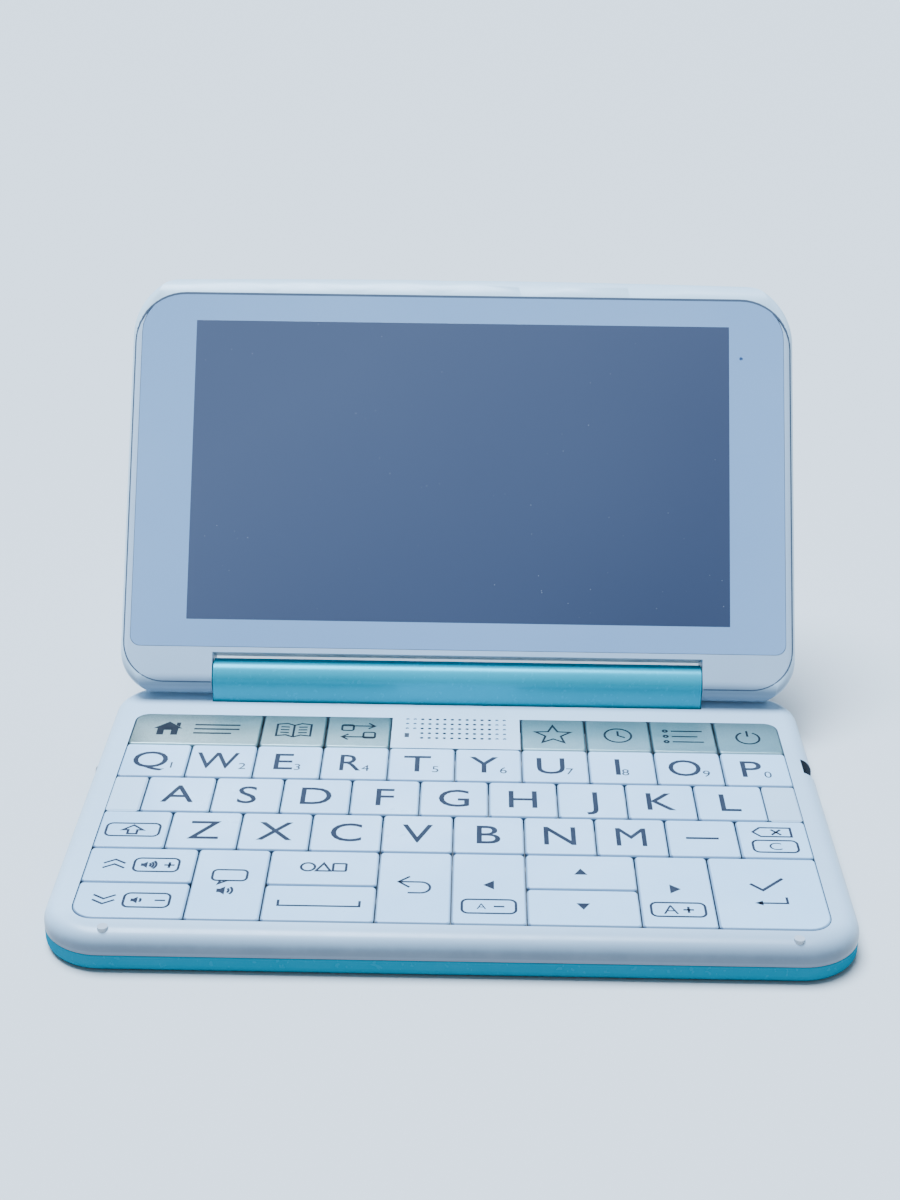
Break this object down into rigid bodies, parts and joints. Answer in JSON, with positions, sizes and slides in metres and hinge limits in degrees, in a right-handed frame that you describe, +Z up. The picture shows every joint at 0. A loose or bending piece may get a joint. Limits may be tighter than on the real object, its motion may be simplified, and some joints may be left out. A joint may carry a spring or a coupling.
{
  "type": "electronic dictionary",
  "caption": "Folding electronic dictionary: a thin keyboard base with a speaker grille and a stylus, and a wide display lid on a two-axis hinge barrel.",
  "frame": {"origin": "on the table under the middle of the open object's outline", "axes": "+X to the right along the hinge, +Y from the keyboard to the hinge, +Z up"},
  "size_m": [0.1524, 0.1462, 0.0902],
  "materials": {
    "case_white": "white painted case",
    "case_teal": "pearl blue-green lacquer",
    "letter_key": "satin pale key",
    "function_key": "pale metallic lacquer",
    "window": "gloss, printed from behind around a clear field",
    "display": "dark display, switched off",
    "pads": "grey rubber",
    "silicone": "translucent silicone",
    "board": "green solder mask",
    "battery": "plain pouch",
    "stylus": "dark grey",
    "shaft": "turned"
  },
  "bodies": {
    "base": {"base_top_case": "case_white", "base_bottom_case": "case_teal", "key_mat": "silicone", "main_board": "board", "battery": "battery", "rubber_pads": "pads"},
    "hinge": {"hinge_barrel": "case_teal", "hinge_shafts": "shaft"},
    "lid": {"lid_front_frame": "case_white", "lid_back_cover": "case_white", "display_window": "window", "display_panel": "display"},
    "stylus": {"stylus": "stylus"},
    "key_home": {"key_home": "function_key"},
    "key_dictionary": {"key_dictionary": "function_key"},
    "key_translate": {"key_translate": "function_key"},
    "key_favourites": {"key_favourites": "function_key"},
    "key_history": {"key_history": "function_key"},
    "key_contents": {"key_contents": "function_key"},
    "key_power": {"key_power": "function_key"},
    "key_q": {"key_q": "letter_key"},
    "key_w": {"key_w": "letter_key"},
    "key_e": {"key_e": "letter_key"},
    "key_r": {"key_r": "letter_key"},
    "key_t": {"key_t": "letter_key"},
    "key_y": {"key_y": "letter_key"},
    "key_u": {"key_u": "letter_key"},
    "key_i": {"key_i": "letter_key"},
    "key_o": {"key_o": "letter_key"},
    "key_p": {"key_p": "letter_key"},
    "key_a": {"key_a": "letter_key"},
    "key_s": {"key_s": "letter_key"},
    "key_d": {"key_d": "letter_key"},
    "key_f": {"key_f": "letter_key"},
    "key_g": {"key_g": "letter_key"},
    "key_h": {"key_h": "letter_key"},
    "key_j": {"key_j": "letter_key"},
    "key_k": {"key_k": "letter_key"},
    "key_l": {"key_l": "letter_key"},
    "key_shift": {"key_shift": "letter_key"},
    "key_z": {"key_z": "letter_key"},
    "key_x": {"key_x": "letter_key"},
    "key_c": {"key_c": "letter_key"},
    "key_v": {"key_v": "letter_key"},
    "key_b": {"key_b": "letter_key"},
    "key_n": {"key_n": "letter_key"},
    "key_m": {"key_m": "letter_key"},
    "key_dash": {"key_dash": "letter_key"},
    "key_delete": {"key_delete": "letter_key"},
    "key_page_up": {"key_page_up": "letter_key"},
    "key_page_down": {"key_page_down": "letter_key"},
    "key_voice": {"key_voice": "letter_key"},
    "key_symbol": {"key_symbol": "letter_key"},
    "key_space": {"key_space": "letter_key"},
    "key_back": {"key_back": "letter_key"},
    "key_left": {"key_left": "letter_key"},
    "key_up": {"key_up": "letter_key"},
    "key_down": {"key_down": "letter_key"},
    "key_right": {"key_right": "letter_key"},
    "key_enter": {"key_enter": "letter_key"}
  },
  "joints": [
    {"name": "lid_hinge", "type": "hinge", "parent": "hinge", "child": "lid", "pos_m": [0, 0.01994, 0.01255], "axis": [-1, 0, 0], "range_deg": [-123.5, 56.5]},
    {"name": "base_hinge", "type": "hinge", "parent": "base", "child": "hinge", "pos_m": [0, 0.01994, 0.00425], "axis": [-1, 0, 0], "range_deg": [0, 180]},
    {"name": "stylus_slide", "type": "slide", "parent": "base", "child": "stylus", "axis": [0, 1, 0], "range_m": [0, 0.08]},
    {"name": "key_home_press", "type": "slide", "parent": "base", "child": "key_home", "axis": [0, 0, -1], "range_m": [0, 0.0005], "stiffness_N_per_m": 400, "springref_m": -0.0003},
    {"name": "key_dictionary_press", "type": "slide", "parent": "base", "child": "key_dictionary", "axis": [0, 0, -1], "range_m": [0, 0.0005], "stiffness_N_per_m": 400, "springref_m": -0.0003},
    {"name": "key_translate_press", "type": "slide", "parent": "base", "child": "key_translate", "axis": [0, 0, -1], "range_m": [0, 0.0005], "stiffness_N_per_m": 400, "springref_m": -0.0003},
    {"name": "key_favourites_press", "type": "slide", "parent": "base", "child": "key_favourites", "axis": [0, 0, -1], "range_m": [0, 0.0005], "stiffness_N_per_m": 400, "springref_m": -0.0003},
    {"name": "key_history_press", "type": "slide", "parent": "base", "child": "key_history", "axis": [0, 0, -1], "range_m": [0, 0.0005], "stiffness_N_per_m": 400, "springref_m": -0.0003},
    {"name": "key_contents_press", "type": "slide", "parent": "base", "child": "key_contents", "axis": [0, 0, -1], "range_m": [0, 0.0005], "stiffness_N_per_m": 400, "springref_m": -0.0003},
    {"name": "key_power_press", "type": "slide", "parent": "base", "child": "key_power", "axis": [0, 0, -1], "range_m": [0, 0.0005], "stiffness_N_per_m": 400, "springref_m": -0.0003},
    {"name": "key_q_press", "type": "slide", "parent": "base", "child": "key_q", "axis": [0, 0, -1], "range_m": [0, 0.0005], "stiffness_N_per_m": 400, "springref_m": -0.0003},
    {"name": "key_w_press", "type": "slide", "parent": "base", "child": "key_w", "axis": [0, 0, -1], "range_m": [0, 0.0005], "stiffness_N_per_m": 400, "springref_m": -0.0003},
    {"name": "key_e_press", "type": "slide", "parent": "base", "child": "key_e", "axis": [0, 0, -1], "range_m": [0, 0.0005], "stiffness_N_per_m": 400, "springref_m": -0.0003},
    {"name": "key_r_press", "type": "slide", "parent": "base", "child": "key_r", "axis": [0, 0, -1], "range_m": [0, 0.0005], "stiffness_N_per_m": 400, "springref_m": -0.0003},
    {"name": "key_t_press", "type": "slide", "parent": "base", "child": "key_t", "axis": [0, 0, -1], "range_m": [0, 0.0005], "stiffness_N_per_m": 400, "springref_m": -0.0003},
    {"name": "key_y_press", "type": "slide", "parent": "base", "child": "key_y", "axis": [0, 0, -1], "range_m": [0, 0.0005], "stiffness_N_per_m": 400, "springref_m": -0.0003},
    {"name": "key_u_press", "type": "slide", "parent": "base", "child": "key_u", "axis": [0, 0, -1], "range_m": [0, 0.0005], "stiffness_N_per_m": 400, "springref_m": -0.0003},
    {"name": "key_i_press", "type": "slide", "parent": "base", "child": "key_i", "axis": [0, 0, -1], "range_m": [0, 0.0005], "stiffness_N_per_m": 400, "springref_m": -0.0003},
    {"name": "key_o_press", "type": "slide", "parent": "base", "child": "key_o", "axis": [0, 0, -1], "range_m": [0, 0.0005], "stiffness_N_per_m": 400, "springref_m": -0.0003},
    {"name": "key_p_press", "type": "slide", "parent": "base", "child": "key_p", "axis": [0, 0, -1], "range_m": [0, 0.0005], "stiffness_N_per_m": 400, "springref_m": -0.0003},
    {"name": "key_a_press", "type": "slide", "parent": "base", "child": "key_a", "axis": [0, 0, -1], "range_m": [0, 0.0005], "stiffness_N_per_m": 400, "springref_m": -0.0003},
    {"name": "key_s_press", "type": "slide", "parent": "base", "child": "key_s", "axis": [0, 0, -1], "range_m": [0, 0.0005], "stiffness_N_per_m": 400, "springref_m": -0.0003},
    {"name": "key_d_press", "type": "slide", "parent": "base", "child": "key_d", "axis": [0, 0, -1], "range_m": [0, 0.0005], "stiffness_N_per_m": 400, "springref_m": -0.0003},
    {"name": "key_f_press", "type": "slide", "parent": "base", "child": "key_f", "axis": [0, 0, -1], "range_m": [0, 0.0005], "stiffness_N_per_m": 400, "springref_m": -0.0003},
    {"name": "key_g_press", "type": "slide", "parent": "base", "child": "key_g", "axis": [0, 0, -1], "range_m": [0, 0.0005], "stiffness_N_per_m": 400, "springref_m": -0.0003},
    {"name": "key_h_press", "type": "slide", "parent": "base", "child": "key_h", "axis": [0, 0, -1], "range_m": [0, 0.0005], "stiffness_N_per_m": 400, "springref_m": -0.0003},
    {"name": "key_j_press", "type": "slide", "parent": "base", "child": "key_j", "axis": [0, 0, -1], "range_m": [0, 0.0005], "stiffness_N_per_m": 400, "springref_m": -0.0003},
    {"name": "key_k_press", "type": "slide", "parent": "base", "child": "key_k", "axis": [0, 0, -1], "range_m": [0, 0.0005], "stiffness_N_per_m": 400, "springref_m": -0.0003},
    {"name": "key_l_press", "type": "slide", "parent": "base", "child": "key_l", "axis": [0, 0, -1], "range_m": [0, 0.0005], "stiffness_N_per_m": 400, "springref_m": -0.0003},
    {"name": "key_shift_press", "type": "slide", "parent": "base", "child": "key_shift", "axis": [0, 0, -1], "range_m": [0, 0.0005], "stiffness_N_per_m": 400, "springref_m": -0.0003},
    {"name": "key_z_press", "type": "slide", "parent": "base", "child": "key_z", "axis": [0, 0, -1], "range_m": [0, 0.0005], "stiffness_N_per_m": 400, "springref_m": -0.0003},
    {"name": "key_x_press", "type": "slide", "parent": "base", "child": "key_x", "axis": [0, 0, -1], "range_m": [0, 0.0005], "stiffness_N_per_m": 400, "springref_m": -0.0003},
    {"name": "key_c_press", "type": "slide", "parent": "base", "child": "key_c", "axis": [0, 0, -1], "range_m": [0, 0.0005], "stiffness_N_per_m": 400, "springref_m": -0.0003},
    {"name": "key_v_press", "type": "slide", "parent": "base", "child": "key_v", "axis": [0, 0, -1], "range_m": [0, 0.0005], "stiffness_N_per_m": 400, "springref_m": -0.0003},
    {"name": "key_b_press", "type": "slide", "parent": "base", "child": "key_b", "axis": [0, 0, -1], "range_m": [0, 0.0005], "stiffness_N_per_m": 400, "springref_m": -0.0003},
    {"name": "key_n_press", "type": "slide", "parent": "base", "child": "key_n", "axis": [0, 0, -1], "range_m": [0, 0.0005], "stiffness_N_per_m": 400, "springref_m": -0.0003},
    {"name": "key_m_press", "type": "slide", "parent": "base", "child": "key_m", "axis": [0, 0, -1], "range_m": [0, 0.0005], "stiffness_N_per_m": 400, "springref_m": -0.0003},
    {"name": "key_dash_press", "type": "slide", "parent": "base", "child": "key_dash", "axis": [0, 0, -1], "range_m": [0, 0.0005], "stiffness_N_per_m": 400, "springref_m": -0.0003},
    {"name": "key_delete_press", "type": "slide", "parent": "base", "child": "key_delete", "axis": [0, 0, -1], "range_m": [0, 0.0005], "stiffness_N_per_m": 400, "springref_m": -0.0003},
    {"name": "key_page_up_press", "type": "slide", "parent": "base", "child": "key_page_up", "axis": [0, 0, -1], "range_m": [0, 0.0005], "stiffness_N_per_m": 400, "springref_m": -0.0003},
    {"name": "key_page_down_press", "type": "slide", "parent": "base", "child": "key_page_down", "axis": [0, 0, -1], "range_m": [0, 0.0005], "stiffness_N_per_m": 400, "springref_m": -0.0003},
    {"name": "key_voice_press", "type": "slide", "parent": "base", "child": "key_voice", "axis": [0, 0, -1], "range_m": [0, 0.0005], "stiffness_N_per_m": 400, "springref_m": -0.0003},
    {"name": "key_symbol_press", "type": "slide", "parent": "base", "child": "key_symbol", "axis": [0, 0, -1], "range_m": [0, 0.0005], "stiffness_N_per_m": 400, "springref_m": -0.0003},
    {"name": "key_space_press", "type": "slide", "parent": "base", "child": "key_space", "axis": [0, 0, -1], "range_m": [0, 0.0005], "stiffness_N_per_m": 400, "springref_m": -0.0003},
    {"name": "key_back_press", "type": "slide", "parent": "base", "child": "key_back", "axis": [0, 0, -1], "range_m": [0, 0.0005], "stiffness_N_per_m": 400, "springref_m": -0.0003},
    {"name": "key_left_press", "type": "slide", "parent": "base", "child": "key_left", "axis": [0, 0, -1], "range_m": [0, 0.0005], "stiffness_N_per_m": 400, "springref_m": -0.0003},
    {"name": "key_up_press", "type": "slide", "parent": "base", "child": "key_up", "axis": [0, 0, -1], "range_m": [0, 0.0005], "stiffness_N_per_m": 400, "springref_m": -0.0003},
    {"name": "key_down_press", "type": "slide", "parent": "base", "child": "key_down", "axis": [0, 0, -1], "range_m": [0, 0.0005], "stiffness_N_per_m": 400, "springref_m": -0.0003},
    {"name": "key_right_press", "type": "slide", "parent": "base", "child": "key_right", "axis": [0, 0, -1], "range_m": [0, 0.0005], "stiffness_N_per_m": 400, "springref_m": -0.0003},
    {"name": "key_enter_press", "type": "slide", "parent": "base", "child": "key_enter", "axis": [0, 0, -1], "range_m": [0, 0.0005], "stiffness_N_per_m": 400, "springref_m": -0.0003}
  ]
}
